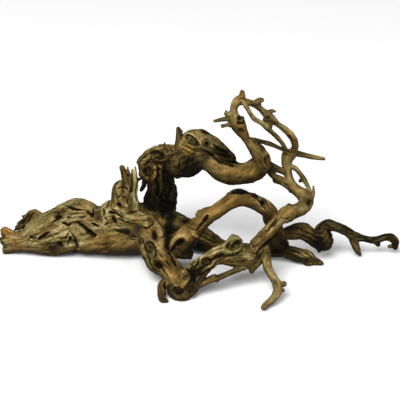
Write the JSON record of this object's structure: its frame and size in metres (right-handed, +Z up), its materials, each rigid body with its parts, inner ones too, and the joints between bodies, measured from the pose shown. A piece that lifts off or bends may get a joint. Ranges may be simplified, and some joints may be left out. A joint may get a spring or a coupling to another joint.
{
  "type": "grapewood branch",
  "caption": "Gnarled dead grapevine branch with a thick trunk, looping arches, short stubs and thin canes, lying on its side as a decorative perch or terrarium piece.",
  "frame": {"origin": "on the floor under the middle of the branch's bounding box", "axes": "+X along the branch from the butt of the trunk to the tips of the canes, +Y away from the side seen in the picture, +Z up"},
  "size_m": [0.6016, 0.2394, 0.2741],
  "materials": {
    "wood": "dry, weathered and barkless, with cracks along the grain"
  },
  "bodies": {
    "root": {"grapewood": "wood"}
  },
  "joints": []
}
